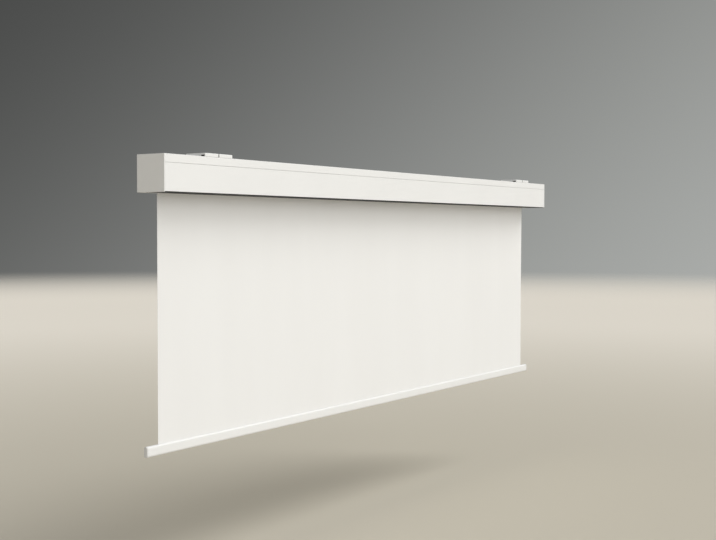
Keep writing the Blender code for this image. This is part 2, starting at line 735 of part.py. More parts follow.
def limit_screw(name, side):
    """Adjuster of an end position, with a hexagon socket that faces down."""
    finish = material("limit_screw_white" if side < 0 else "limit_screw_red",
                      (0.8, 0.8, 0.78) if side < 0 else (0.65, 0.05, 0.04), 0.4)
    radius = LIMIT_SCREW_DIAMETER / 2
    rod = circle((0, 0), radius, ROD_FACETS)
    screw = prism(name, rod, -LIMIT_SCREW_STANDS, LIMIT_SCREW_DEPTH, finish)
    socket = prism("socket", hexagon((0, 0), LIMIT_SCREW_SOCKET), -LIMIT_SCREW_STANDS - CLEARANCE,
                   LIMIT_SCREW_SOCKET_DEPTH, finish)
    cut(screw, socket)
    x, y = limit_screw_place(side)
    return stand_upright(screw, x, y, AXIS_Z - MOTOR_HEAD_FLAT)


def motor_clip():
    """Horseshoe spring clip round the neck of the lug, outside the carrier."""
    slot = MOTOR_LUG_WEB / 2 + CLEARANCE
    half = CLIP_SIZE / 2
    outline = [(slot, AXIS_Z - half), (half, AXIS_Z - half)]
    outline += arc((0, AXIS_Z), half, 0, 180, OVAL_STEPS)
    outline += [(-half, AXIS_Z - half), (-slot, AXIS_Z - half)]
    outline += [(-slot, AXIS_Z + slot), (slot, AXIS_Z + slot)]
    start = CARRIER_X + NECK_START + CLEARANCE
    return prism("motor_clip", outline, start, start + CLIP_THICKNESS, zinc_steel())


def motor_crown():
    """Ring in the right end of the tube, turning on the motor housing."""
    finish = black_plastic()
    flange_x = TUBE_X + CLEARANCE
    outer_x = flange_x + FLANGE_THICKNESS
    ring = keyed_disc("motor_crown", TUBE_X - CROWN_LENGTH, flange_x + CLEARANCE, finish)
    fuse(ring, prism("flange", axis_circle(TUBE_RADIUS), flange_x, outer_x, finish))
    bore = axis_circle(MOTOR_RADIUS + RUNNING_GAP)
    return cut(ring, prism("bore", bore, TUBE_X - CROWN_LENGTH - CLEARANCE, outer_x + CLEARANCE, finish))


def motor_shaft():
    """Output shaft with two flats where the drive wheel sits."""
    finish = zinc_steel()
    high = MOTOR_NOSE_X + SHAFT_ENTRY
    profile = [(SHAFT_END_X, 0), (SHAFT_END_X, SHAFT_RADIUS), (high, SHAFT_RADIUS), (high, 0)]
    shaft = turned("motor_shaft", profile, finish, facets=BORE_FACETS)
    flat_x = MOTOR_NOSE_X - RUNNING_GAP
    for edge in (-1, 1):
        near, far = edge * SHAFT_FLAT, edge * (SHAFT_RADIUS + CLEARANCE)
        side = rectangle(*sorted((near, far)), AXIS_Z - SHAFT_RADIUS, AXIS_Z + SHAFT_RADIUS)
        cut(shaft, prism("flat", side, SHAFT_END_X - CLEARANCE, flat_x, finish))
    return shaft


def motor_drive_wheel():
    """Wheel on the output shaft that turns the tube by its groove, lightened by six windows."""
    finish = black_plastic()
    low = SHAFT_END_X + (SHAFT_LENGTH - SHAFT_ENTRY - DRIVE_WHEEL_LENGTH) / 2
    high = low + DRIVE_WHEEL_LENGTH
    wheel = keyed_disc("motor_drive_wheel", low, high, finish)
    flat = SHAFT_FLAT + CLEARANCE
    round_part = SHAFT_RADIUS + CLEARANCE
    lean = math.degrees(math.acos(flat / round_part))
    bore = arc((0, AXIS_Z), round_part, lean, 180 - lean, OVAL_STEPS)
    bore += arc((0, AXIS_Z), round_part, 180 + lean, 360 - lean, OVAL_STEPS)
    cut(wheel, prism("bore", bore, low - CLEARANCE, high + CLEARANCE, finish))
    outer = TUBE_RADIUS - TUBE_WALL - DRIVE_WHEEL_RIM
    pitch = 360 / DRIVE_WHEEL_WINDOWS
    outer_half = pitch / 2 - math.degrees(DRIVE_WHEEL_SPOKE / 2 / outer)
    inner_half = pitch / 2 - math.degrees(DRIVE_WHEEL_SPOKE / 2 / DRIVE_WHEEL_HUB)
    for step in range(DRIVE_WHEEL_WINDOWS):
        middle = 90 + (step + 0.5) * pitch
        window = arc((0, AXIS_Z), outer, middle - outer_half, middle + outer_half, WINDOW_STEPS)
        window += arc((0, AXIS_Z), DRIVE_WHEEL_HUB, middle + inner_half, middle - inner_half, WINDOW_STEPS)
        cut(wheel, prism("window", window, low - CLEARANCE, high + CLEARANCE, finish))
    return wheel


# The hem bar
def hem_bar():
    """Flat oval extrusion with a round pocket for the fabric's rod and a hollow lower part."""
    finish = white_paint()
    end = HEM_HALF_LENGTH - HEM_CAP_THICKNESS - CLEARANCE
    past = end + CLEARANCE
    outline = stadium((FABRIC_Y, HEM_CENTRE_Z), HEM_DEPTH, HEM_HEIGHT, OVAL_STEPS)
    bar = prism("hem_bar", outline, -end, end, finish)
    pocket = circle((FABRIC_Y, HEM_POCKET_Z), HEM_POCKET / 2, SMALL_FACETS)
    cut(bar, prism("pocket", pocket, -past, past, finish))
    slot = rectangle(FABRIC_Y - HEM_SLOT / 2, FABRIC_Y + HEM_SLOT / 2, HEM_POCKET_Z, HEM_TOP_Z + CLEARANCE)
    cut(bar, prism("slot", slot, -past, past, finish))
    return cut(bar, prism("hollow", hem_hollow(0), -past, past, finish))


def hem_hollow(shrink):
    """The lower hollow of the hem bar, each side moved in by shrink."""
    top = HEM_POCKET_Z - HEM_POCKET / 2 - HEM_WALL
    foot = HEM_TOP_Z - HEM_HEIGHT + HEM_WALL
    depth = HEM_DEPTH - 2 * HEM_WALL
    centre = (FABRIC_Y, (top + foot) / 2)
    return stadium(centre, depth - 2 * shrink, top - foot - 2 * shrink, NARROW_OVAL_STEPS)


def hem_rod():
    half = FABRIC_WIDTH / 2
    rod = circle((FABRIC_Y, HEM_POCKET_Z), HEM_ROD_DIAMETER / 2, ROD_FACETS)
    return prism("hem_rod", rod, -half, half, white_plastic())


def hem_cap(name, side):
    finish = white_plastic()
    inner_x = HEM_HALF_LENGTH - HEM_CAP_THICKNESS
    outline = stadium((FABRIC_Y, HEM_CENTRE_Z), HEM_DEPTH, HEM_HEIGHT, OVAL_STEPS)
    cap = prism(name, outline, *sorted((side * inner_x, side * HEM_HALF_LENGTH)), finish)
    ease_outer_rim(cap, side * HEM_HALF_LENGTH, HEM_CAP_ROUNDING, 3)
    spigot = prism("spigot", hem_hollow(CLEARANCE),
                   *sorted((side * (inner_x - HEM_CAP_SPIGOT), side * (inner_x + CLEARANCE))), finish)
    return fuse(cap, spigot)


# The roof brackets
def bracket_bolt_places(centre_x):
    return [(centre_x + offset, CHANNEL_Y) for offset in (-BOLT_SPACING / 2, BOLT_SPACING / 2)]


def upright(name, outline, z_low, z_high, x, y, finish):
    """An outline drawn about the origin in (x, y), stood up between two heights at a place."""
    made = prism(name, outline, z_low, z_high, finish)
    return stand_upright(made, x, y, 0)


def bracket_plate(name, centre_x):
    """Pressed bracket: a plate folded all round, low at its front corners and split at mid length."""
    finish = white_paint()
    front = FRONT_Y + BRACKET_WALL / 2
    back = FRONT_Y + BRACKET_DEPTH - BRACKET_WALL / 2
    foot = -BRACKET_HEIGHT
    path = [(front, foot), (front, -BRACKET_WALL / 2), (back, -BRACKET_WALL / 2), (back, foot)]
    half = BRACKET_LENGTH / 2
    plate = prism(name, wall_outline(path, BRACKET_WALL), centre_x - half, centre_x + half, finish)
    corner = FRONT_Y + BRACKET_CORNER_GAP
    end_fold = [(front, -BRACKET_END_LIP), (corner, -BRACKET_END_LIP), (corner, foot), (back, foot),
                (back, -BRACKET_WALL / 2), (front, -BRACKET_WALL / 2)]
    for start in (centre_x - half, centre_x + half - BRACKET_WALL):
        fuse(plate, prism("end_fold", end_fold, start, start + BRACKET_WALL, finish))
    notch = rectangle(FRONT_Y - CLEARANCE, FRONT_Y + BRACKET_NOTCH, foot - CLEARANCE, CLEARANCE)
    cut(plate, prism("notch", notch, centre_x - BRACKET_SPLIT / 2, centre_x + BRACKET_SPLIT / 2, finish))
    over = BRACKET_WALL + CLEARANCE
    for offset in (-CEILING_SLOT_SPACING / 2, CEILING_SLOT_SPACING / 2):
        slot = stadium((0, 0), CEILING_SLOT_WIDTH, CEILING_SLOT_LENGTH, NARROW_OVAL_STEPS)
        cut(plate, upright("slot", slot, -over, CLEARANCE, centre_x + offset, CEILING_SLOT_Y, finish))
    hole = circle((0, 0), BOLT_DIAMETER / 2 + CLEARANCE, ROD_FACETS)
    for x, y in bracket_bolt_places(centre_x):
        cut(plate, upright("hole", hole, -over, CLEARANCE, x, y, finish))
        sink = turned("sink", bolt_cone(CLEARANCE), finish, 0, 0, SMALL_FACETS)
        cut(plate, stand_upright(sink, x, y, 0))
    return plate


def bolt_cone(grow):
    """Profile of a countersunk head, wide end up, each side moved out by grow."""
    head, shank = BOLT_HEAD / 2 + grow, BOLT_DIAMETER / 2 + grow
    below = -BRACKET_WALL - grow
    return [(grow, 0), (grow, head), (-(BOLT_HEAD - BOLT_DIAMETER) / 2, shank), (below, shank), (below, 0)]


def bracket_foot(name, centre_x):
    """T-shaped foot that slides in the roof channel."""
    finish = zinc_steel()
    wide = CHANNEL_WIDTH / 2 - CLEARANCE
    neck = CHANNEL_SLOT / 2 - CLEARANCE
    shoulder = ROOF_Z - CASE_WALL - CLEARANCE
    top = ROOF_Z + CLEARANCE
    outline = [(CHANNEL_Y - wide, shoulder - FOOT_THICKNESS), (CHANNEL_Y + wide, shoulder - FOOT_THICKNESS),
               (CHANNEL_Y + wide, shoulder), (CHANNEL_Y + neck, shoulder), (CHANNEL_Y + neck, top),
               (CHANNEL_Y - neck, top), (CHANNEL_Y - neck, shoulder), (CHANNEL_Y - wide, shoulder)]
    half = FOOT_LENGTH / 2
    foot = prism(name, outline, centre_x - half, centre_x + half, finish)
    hole = circle((0, 0), BOLT_DIAMETER / 2 + CLEARANCE, ROD_FACETS)
    low, high = shoulder - FOOT_THICKNESS - CLEARANCE, top + CLEARANCE
    for x, y in bracket_bolt_places(centre_x):
        cut(foot, upright("hole", hole, low, high, x, y, finish))
    return foot


def bracket_bolt(name, place):
    finish = zinc_steel()
    end = ROOF_Z - CASE_WALL - CLEARANCE - FOOT_THICKNESS
    radius = BOLT_DIAMETER / 2
    top = -CLEARANCE
    cone_end = top - (BOLT_HEAD - BOLT_DIAMETER) / 2
    profile = [(top, 0), (top, BOLT_HEAD / 2 - CLEARANCE), (cone_end, radius), (end, radius), (end, 0)]
    return stand_upright(turned(name, profile, finish, 0, 0, SMALL_FACETS), place[0], place[1], 0)


# Joints
def joint(name, place, pieces):
    """An empty on the joint's axis that carries the pieces that move together."""
    pivot = bpy.data.objects.new(name, None)
    pivot.location = place
    pivot.empty_display_size = 0.05
    bpy.context.scene.collection.objects.link(pivot)
    bpy.context.view_layer.update()
    for piece in pieces:
        piece.parent = pivot
        piece.matrix_parent_inverse = pivot.matrix_world.inverted()
    return pivot


def build():
    clear_scene()
    case_body_profile()
    case_front_panel()
    case_bottom_panel()
    case_end_plate("case_end_plate_left", -1)
    power_gland(case_end_plate("case_end_plate_right", 1))

    half = PIN_SQUARE / 2 + CLEARANCE
    carrier("idler_carrier", -1, rectangle(-half, half, AXIS_Z - half, AXIS_Z + half))
    carrier("motor_carrier", 1, plus_outline(MOTOR_LUG, MOTOR_LUG_WEB, CLEARANCE))
    for side, end in ((-1, "idler"), (1, "motor")):
        for rise, place in ((-SCREW_SPACING / 2, "lower"), (SCREW_SPACING / 2, "upper")):
            carrier_screw(f"{end}_carrier_screw_{place}", side, rise)
    idler_pin()
    motor_housing()
    motor_head()
    motor_clip()
    fabric_sheet()

    turning = [roller_tube(), fabric_roll(), fabric_spline(), idler_plug(), idler_bearing(),
               motor_crown(), motor_shaft(), motor_drive_wheel()]
    joint("roller_turn", (0, 0, AXIS_Z), turning)
    for side, name in ((-1, "limit_screw_upper"), (1, "limit_screw_lower")):
        x, y = limit_screw_place(side)
        joint(f"{name}_turn", (x, y, AXIS_Z - MOTOR_HEAD_FLAT), [limit_screw(name, side)])

    hem = [hem_bar(), hem_rod(), hem_cap("hem_bar_cap_left", -1), hem_cap("hem_bar_cap_right", 1)]
    joint("bar_travel", (0, FABRIC_Y, HEM_CENTRE_Z), hem)

    for side, end in ((-1, "left"), (1, "right")):
        centre_x = side * BRACKET_CENTRE_X
        plate = bracket_plate(f"bracket_{end}_plate", centre_x)
        foot = bracket_foot(f"bracket_{end}_foot", centre_x)
        low_x, high_x = bracket_bolt_places(centre_x)
        outer, inner = (low_x, high_x) if side < 0 else (high_x, low_x)
        outer_bolt = bracket_bolt(f"bracket_{end}_bolt_outer", outer)
        inner_bolt = bracket_bolt(f"bracket_{end}_bolt_inner", inner)
        pieces = [plate, foot, outer_bolt, inner_bolt]
        joint(f"bracket_{end}_slide", (centre_x, CHANNEL_Y, ROOF_Z), pieces)


build()
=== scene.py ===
"""Looks of a motorised roll-down projection screen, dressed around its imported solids.

Metres, +Z up. X runs along the case, -Y is the viewing side, and the ceiling is at z = 0.
"""
import json
import math

import bpy
from mathutils import Matrix, Vector


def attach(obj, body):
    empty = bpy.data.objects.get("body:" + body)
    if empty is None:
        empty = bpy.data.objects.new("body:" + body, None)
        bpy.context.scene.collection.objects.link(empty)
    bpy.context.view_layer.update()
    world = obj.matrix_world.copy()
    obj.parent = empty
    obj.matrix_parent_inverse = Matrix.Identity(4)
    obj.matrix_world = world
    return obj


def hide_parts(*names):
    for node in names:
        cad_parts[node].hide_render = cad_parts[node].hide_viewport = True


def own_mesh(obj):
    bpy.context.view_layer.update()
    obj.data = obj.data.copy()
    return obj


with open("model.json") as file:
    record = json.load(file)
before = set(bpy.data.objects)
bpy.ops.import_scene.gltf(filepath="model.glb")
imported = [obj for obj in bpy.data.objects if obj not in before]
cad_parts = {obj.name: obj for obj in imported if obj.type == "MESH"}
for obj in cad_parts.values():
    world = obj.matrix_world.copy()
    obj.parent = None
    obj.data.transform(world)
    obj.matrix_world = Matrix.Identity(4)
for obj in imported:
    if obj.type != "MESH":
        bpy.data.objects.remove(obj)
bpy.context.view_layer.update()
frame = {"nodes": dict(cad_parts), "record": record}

RECORD = frame["record"]
BODY_OF = {node: body for body, nodes in RECORD["behaviour"]["bodies"].items() for node in nodes}
SLOT_OF = {part["node"]: part["material_slot"] for part in RECORD["subparts"]}
SIDES = ((-1, "left"), (1, "right"))

# Camera
CAMERA_PLACE = (-3.5394, -2.3241, -0.2326)
CAMERA_YAW = math.radians(55.111)
CAMERA_PITCH = math.radians(2.045)
CAMERA_ROLL = math.radians(0.12)
CAMERA_LENS = 55.32
CAMERA_SENSOR = 36.0
CAMERA_NEAR = 0.05
CAMERA_FAR = 200.0

# Floor
FLOOR_HEIGHT = -1.30
FLOOR_RADIUS = 30.0
FLOOR_FADE_START = 13.0
FLOOR_FADE_END = 26.0
FLOOR_NEAR = 0.3
FLOOR_FAR = 9.0
# Painted light and shade: the floor is painted darker near the object and lighter far off, as the
# studio light falls on it.
FLOOR_NEAR_COLOUR = (0.605, 0.565, 0.472, 1.0)
FLOOR_FAR_COLOUR = (0.86, 0.812, 0.72, 1.0)

# Backdrop, painted darker and lighter across it as painted light, and the soft light from all
# round
BACKDROP_DARK = (0.065, 0.0665, 0.065, 1.0)
BACKDROP_LIGHT = (0.446, 0.458, 0.442, 1.0)
BACKDROP_TURN = (0.357, -0.559, -0.748)
BACKDROP_TOP = 0.22
BACKDROP_START = -0.44
BACKDROP_END = 0.40
SKY_COLOUR = (1.0, 0.995, 0.985, 1.0)
SKY_STRENGTH = 0.42

# Lamps
LAMP_AIM = (0.0, 0.0, -0.4)
FILL_PLACE = (0.3, -4.8, -0.3)
FILL_SPREAD = math.radians(70)
FILL_STRENGTH = 1.53
KEY_PLACE = (2.3, -2.0, 2.4)
KEY_SPREAD = math.radians(34)
KEY_STRENGTH = 1.53


def set_camera():
    data = bpy.data.cameras.new("photo_camera")
    data.lens = CAMERA_LENS
    data.sensor_width = CAMERA_SENSOR
    data.clip_start = CAMERA_NEAR
    data.clip_end = CAMERA_FAR
    camera = bpy.data.objects.new("photo_camera", data)
    bpy.context.scene.collection.objects.link(camera)
    turn = Matrix.Rotation(-CAMERA_YAW, 4, "Z")
    tip = Matrix.Rotation(math.pi / 2 - CAMERA_PITCH, 4, "X")
    roll = Matrix.Rotation(CAMERA_ROLL, 4, "Z")
    camera.matrix_world = Matrix.Translation(CAMERA_PLACE) @ turn @ tip @ roll
    bpy.context.scene.camera = camera


def add_wide_light(name, place, spread_angle, strength):
    """Even light from one side over the whole studio, as from a large diffusing screen."""
    data = bpy.data.lights.new(name, "SUN")
    data.angle = spread_angle
    data.energy = strength
    lamp = bpy.data.objects.new(name, data)
    lamp.location = place
    direction = Vector(LAMP_AIM) - Vector(place)
    lamp.rotation_euler = direction.to_track_quat("-Z", "Y").to_euler()
    bpy.context.scene.collection.objects.link(lamp)


# Nodes
def add_node(tree, kind, values=None, **settings):
    """A node with its settings, and with values on its inputs."""
    made = tree.nodes.new(kind)
    for key, value in settings.items():
        setattr(made, key, value)
    for key, value in (values or {}).items():
        made.inputs[key].default_value = value
    return made


def wire(tree, *pairs):
    for start, end in pairs:
        tree.links.new(start, end)


def eased_share(tree, value, start, end):
    """How far a value has come from start to end, with a soft beginning and a soft end."""
    made = add_node(tree, "ShaderNodeMapRange", {"From Min": start, "From Max": end},
                    interpolation_type="SMOOTHSTEP")
    wire(tree, (value, made.inputs["Value"]))
    return made.outputs["Result"]


def mixed_colour(tree, share, first, second):
    """The first colour where the share is none, and the second where it is all."""
    made = add_node(tree, "ShaderNodeMix", data_type="RGBA")
    made.inputs["A"].default_value = first
    made.inputs["B"].default_value = second
    wire(tree, (share, made.inputs["Factor"]))
    return made.outputs["Result"]


def mixed_shader(tree, share, first, second):
    made = add_node(tree, "ShaderNodeMixShader")
    wire(tree, (share, made.inputs["Fac"]), (first, made.inputs[1]), (second, made.inputs[2]))
    return made.outputs[0]


def set_sky():
    """Soft light from all round, and a grey backdrop painted lighter to one side and downwards as
    painted light.
    """
    world = bpy.data.worlds.new("studio")
    bpy.context.scene.world = world
    world.use_nodes = True
    tree = world.node_tree
    tree.nodes.clear()
    where = add_node(tree, "ShaderNodeTexCoord")
    level = add_node(tree, "ShaderNodeVectorMath", {1: (1, 1, BACKDROP_TOP)}, operation="MINIMUM")
    along = add_node(tree, "ShaderNodeVectorMath", {1: BACKDROP_TURN}, operation="DOT_PRODUCT")
    wire(tree, (where.outputs["Generated"], level.inputs[0]),
         (level.outputs["Vector"], along.inputs[0]))
    # Painted light: the backdrop's tone goes from dark to light along one direction.
    share = eased_share(tree, along.outputs["Value"], BACKDROP_START, BACKDROP_END)
    seen = add_node(tree, "ShaderNodeBackground")
    wire(tree, (mixed_colour(tree, share, BACKDROP_DARK, BACKDROP_LIGHT), seen.inputs["Color"]))
    light = add_node(tree, "ShaderNodeBackground", {"Color": SKY_COLOUR, "Strength": SKY_STRENGTH})

    # The backdrop is what is looked at, reflected or seen through, and the sky lights the rest
    path = add_node(tree, "ShaderNodeLightPath")
    direct = add_node(tree, "ShaderNodeMath", operation="MAXIMUM")
    through = add_node(tree, "ShaderNodeMath", operation="MAXIMUM")
    wire(tree, (path.outputs["Is Camera Ray"], direct.inputs[0]),
         (path.outputs["Is Glossy Ray"], direct.inputs[1]),
         (direct.outputs[0], through.inputs[0]),
         (path.outputs["Is Transmission Ray"], through.inputs[1]))
    both = mixed_shader(tree, through.outputs[0], light.outputs[0], seen.outputs[0])
    wire(tree, (both, add_node(tree, "ShaderNodeOutputWorld").inputs["Surface"]))


def lay_floor():
    """Plain pale floor, painted a little lighter with distance as painted light and darker near
    the object as painted shade, that fades into the backdrop far away.
    """
    choose_none()
    bpy.ops.mesh.primitive_circle_add(vertices=96, radius=FLOOR_RADIUS, fill_type="NGON",
                                      location=(0, 0, FLOOR_HEIGHT))
    floor = settle(bpy.context.object, "studio_floor")
    material = bpy.data.materials.new("floor_paint")
    material.use_nodes = True
    tree = material.node_tree
    tree.nodes.clear()
    where = add_node(tree, "ShaderNodeTexCoord")
    flat = add_node(tree, "ShaderNodeVectorMath", {1: (1, 1, 0)}, operation="MULTIPLY")
    far = add_node(tree, "ShaderNodeVectorMath", operation="LENGTH")
    wire(tree, (where.outputs["Object"], flat.inputs[0]), (flat.outputs[0], far.inputs[0]))
    distance = far.outputs["Value"]
    # Painted light: the floor's colour goes from the darker near colour to the lighter far one
    # with distance.
    share = eased_share(tree, distance, FLOOR_NEAR, FLOOR_FAR)
    paint = add_node(tree, "ShaderNodeBsdfDiffuse")
    wire(tree, (mixed_colour(tree, share, FLOOR_NEAR_COLOUR, FLOOR_FAR_COLOUR),
                paint.inputs["Color"]))
    clear = add_node(tree, "ShaderNodeBsdfTransparent")
    fade = eased_share(tree, distance, FLOOR_FADE_START, FLOOR_FADE_END)
    both = mixed_shader(tree, fade, paint.outputs[0], clear.outputs[0])
    wire(tree, (both, add_node(tree, "ShaderNodeOutputMaterial").inputs["Surface"]))
    floor.data.materials.append(material)


# Finishes
def new_finish(name, values):
    """A material, the inputs of its shader, and the object's own coordinates to draw from."""
    material = bpy.data.materials.new(name)
    material.use_nodes = True
    tree = material.node_tree
    tree.nodes.clear()
    shader = add_node(tree, "ShaderNodeBsdfPrincipled", values)
    out = add_node(tree, "ShaderNodeOutputMaterial")
    wire(tree, (shader.outputs["BSDF"], out.inputs["Surface"]))
    where = add_node(tree, "ShaderNodeTexCoord")
    return material, tree, shader.inputs, where.outputs["Object"]


def stretched(tree, source, scale):
    mapping = add_node(tree, "ShaderNodeMapping", {"Scale": scale})
    wire(tree, (source, mapping.inputs["Vector"]))
    return mapping.outputs["Vector"]


def noise(tree, source, scale, detail=2.0, roughness=0.5):
    made = add_node(tree, "ShaderNodeTexNoise",
                    {"Scale": scale, "Detail": detail, "Roughness": roughness})
    wire(tree, (source, made.inputs["Vector"]))
    return made.outputs["Fac"]


def spread(tree, pattern, low, high, from_low=0.3, from_high=0.7):
    """A pattern's value carried to the range low to high."""
    made = add_node(tree, "ShaderNodeMapRange", {"From Min": from_low, "From Max": from_high,
                                                 "To Min": low, "To Max": high})
    wire(tree, (pattern, made.inputs["Value"]))
    return made.outputs["Result"]


def two_tones(tree, pattern, first, second, from_low=0.3, from_high=0.7):
    share = spread(tree, pattern, 0.0, 1.0, from_low, from_high)
    return mixed_colour(tree, share, (*first, 1.0), (*second, 1.0))


def raised(tree, height, strength, depth, before=None):
    """Relief from a pattern, over the relief that comes before it."""
    made = add_node(tree, "ShaderNodeBump", {"Strength": strength, "Distance": depth})
    wire(tree, (height, made.inputs["Height"]))
    if before is not None:
        wire(tree, (before, made.inputs["Normal"]))
    return made.outputs["Normal"]


def powder_coat(name, light, dark, gloss=(0.34, 0.46), peel_rise=0.26, grain_rise=0.12,
                specular=0.3):
    """Satin powder coat: a fine orange peel over a slow change of tone."""
    values = {"IOR": 1.5, "Specular IOR Level": specular}
    material, tree, into, where = new_finish(name, values)
    slow = noise(tree, where, scale=5.0, detail=3.0)
    cloudy = noise(tree, where, scale=38.0, detail=4.0)
    peel = noise(tree, where, scale=620.0, detail=1.5)
    grain = noise(tree, where, scale=2400.0, detail=1.0)
    peeled = raised(tree, peel, peel_rise, depth=0.0004)
    wire(tree, (two_tones(tree, slow, light, dark), into["Base Color"]),
         (spread(tree, cloudy, *gloss), into["Roughness"]),
         (raised(tree, grain, grain_rise, depth=0.0001, before=peeled), into["Normal"]))
    return material


def drawn_metal(name, light, dark, gloss, fineness=420.0):
    """Metal drawn or extruded along X: faint lengthwise lines under a slow clouding."""
    material, tree, into, where = new_finish(name, {"Metallic": 1.0})
    clouds = noise(tree, where, scale=16.0, detail=4.0)
    fine_lines = noise(tree, stretched(tree, where, (0.8, 1.0, 1.0)), fineness, detail=2.0)
    long_lines = noise(tree, stretched(tree, where, (0.006, 1.0, 1.0)), 2 * fineness, detail=3.0)
    drawn = raised(tree, long_lines, strength=0.22, depth=0.0001)
    relief = raised(tree, fine_lines, strength=0.05, depth=0.00005, before=drawn)
    wire(tree, (two_tones(tree, clouds, light, dark), into["Base Color"]),
         (spread(tree, long_lines, *gloss), into["Roughness"]), (relief, into["Normal"]))
    return material


def zinc_plate(name, light, warm, gloss=(0.40, 0.56)):
    """Bright zinc on pressed or turned steel: cool metal with a faint yellow passivation."""
    material, tree, into, where = new_finish(name, {"Metallic": 1.0})
    clouds = noise(tree, where, scale=90.0, detail=4.0, roughness=0.6)
    fine = noise(tree, where, scale=700.0, detail=3.0, roughness=0.6)
    wire(tree, (two_tones(tree, clouds, light, warm), into["Base Color"]),
         (spread(tree, fine, *gloss), into["Roughness"]),
         (raised(tree, fine, strength=0.10, depth=0.00008), into["Normal"]))
    return material


def moulded_plastic(name, light, dark, gloss=(0.42, 0.56)):
    """Moulded plastic with the fine spark-eroded grain of its tool."""
    material, tree, into, where = new_finish(name, {"IOR": 1.49})
    slow = noise(tree, where, scale=45.0, detail=2.0)
    grain = noise(tree, where, scale=1500.0, detail=2.0, roughness=0.6)
    wire(tree, (two_tones(tree, slow, light, dark), into["Base Color"]),
         (spread(tree, grain, *gloss), into["Roughness"]),
         (raised(tree, grain, strength=0.16, depth=0.0001), into["Normal"]))
    return material


def weave(tree, where, thread_pitch):
    """Two sets of threads that cross, as the product of two waves along X and Z."""
    crossed = add_node(tree, "ShaderNodeMath", operation="MULTIPLY")
    # A wave texture of scale 1 repeats every pi / 10 metres
    values = {"Scale": math.pi / 10 / thread_pitch, "Distortion": 0.6,
              "Detail": 1.0, "Detail Scale": 0.4}
    for number, axis in enumerate("XZ"):
        thread = add_node(tree, "ShaderNodeTexWave", values, wave_type="BANDS",
                          bands_direction=axis, wave_profile="SIN")
        wire(tree, (where, thread.inputs["Vector"]),
             (thread.outputs["Fac"], crossed.inputs[number]))
    return crossed.outputs[0]


def woven_cloth(name, light, dark, thread_pitch, relief, gloss):
    """Coated glass-fibre cloth: a plain weave under a matt coat, with faint long bands."""
    values = {"Roughness": gloss, "Specular IOR Level": 0.25,
              "Sheen Weight": 0.06, "Sheen Roughness": 0.6}
    material, tree, into, where = new_finish(name, values)
    bands = noise(tree, stretched(tree, where, (1.0, 1.0, 0.12)), scale=7.0, detail=3.0)
    flecks = noise(tree, where, scale=260.0, detail=3.0, roughness=0.6)
    both = add_node(tree, "ShaderNodeMath", {1: 0.25}, operation="MULTIPLY_ADD")
    wire(tree, (flecks, both.inputs[0]), (bands, both.inputs[2]))
    tone = two_tones(tree, both.outputs[0], light, dark, from_low=0.40, from_high=0.85)
    wire(tree, (tone, into["Base Color"]),
         (raised(tree, weave(tree, where, thread_pitch), relief, depth=0.0001), into["Normal"]))
    return material


white_coat = powder_coat("satin_white_coat", (0.86, 0.86, 0.845), (0.84, 0.84, 0.825))
white_drawn_coat = powder_coat("satin_white_bar_coat", (0.86, 0.86, 0.845), (0.845, 0.845, 0.83))
white_plastic = moulded_plastic("white_moulded", (0.78, 0.78, 0.765), (0.755, 0.755, 0.74),
                                gloss=(0.36, 0.48))
cloth_front = woven_cloth("screen_cloth_front", (0.88, 0.877, 0.862), (0.862, 0.858, 0.842),
                          thread_pitch=0.0006, relief=0.30, gloss=0.92)
cloth_back = woven_cloth("screen_cloth_back", (0.79, 0.785, 0.765), (0.75, 0.745, 0.725),
                         thread_pitch=0.0008, relief=0.55, gloss=0.85)

# The finish of each material slot in the record
FINISH_OF = {
    "white_paint": white_coat,
    # The bottom panel's matt black is painted shade: it stands in for the shade under and inside
    # the case.
    "black_paint": powder_coat("matt_black_underside_painted_shade", (0.020, 0.020, 0.021),
                               (0.027, 0.027, 0.028), gloss=(0.60, 0.72), peel_rise=0.08,
                               grain_rise=0.06, specular=0.2),
    "bare_aluminium": drawn_metal("mill_aluminium", (0.77, 0.78, 0.79), (0.68, 0.69, 0.70),
                                  gloss=(0.26, 0.44)),
    "zinc_steel": zinc_plate("bright_zinc", (0.64, 0.65, 0.67), (0.66, 0.63, 0.53)),
    "black_plastic": moulded_plastic("black_moulded", (0.028, 0.028, 0.030),
                                     (0.040, 0.040, 0.041)),
    "white_plastic": white_plastic,
    "screen_fabric": cloth_front,
    "motor_casing": drawn_metal("zinc_motor_tube", (0.62, 0.63, 0.65), (0.55, 0.56, 0.56),
                                gloss=(0.25, 0.38), fineness=260.0),
    "limit_screw_white": white_plastic,
    "limit_screw_red": moulded_plastic("red_moulded", (0.62, 0.040, 0.030),
                                       (0.54, 0.032, 0.026)),
}

# Shaping: how close a point counts as on a face, how far a cutter runs past a face, how deep
# joined shapes lie in each other, and what a full rounding leaves so that its sides don't meet
NEAR = 0.0001
OVER = 0.001
OVERLAP = 0.0005
HAIR = 0.000002

# Points closer than these are merged
WELD = 0.00001
FINE_WELD = 0.000008

# Faces that turn less than these are merged, not bevelled, or shaded as one
FLAT_ANGLE = math.radians(0.5)
EDGE_ANGLE = math.radians(35)
SHEET_ANGLE = math.radians(40)

# How far edges are broken
EDGE_METAL = 0.0003
EDGE_MOULDED = 0.0002
EDGE_TURNED = 0.0001
EDGE_SCREW = 0.00008


def choose_none():
    bpy.ops.object.select_all(action="DESELECT")


def choose(piece):
    choose_none()
    piece.select_set(True)
    bpy.context.view_layer.objects.active = piece


def settle(piece, name):
    """Names the piece and puts its place into its mesh."""
    choose(piece)
    bpy.ops.object.transform_apply(location=True, rotation=True, scale=True)
    piece.name = name
    piece.data.name = name
    return piece


def add_block(low, high):
    choose_none()
    bpy.ops.mesh.primitive_cube_add(size=1, location=(Vector(low) + Vector(high)) / 2)
    block = bpy.context.object
    block.dimensions = Vector(high) - Vector(low)
    return settle(block, "block")


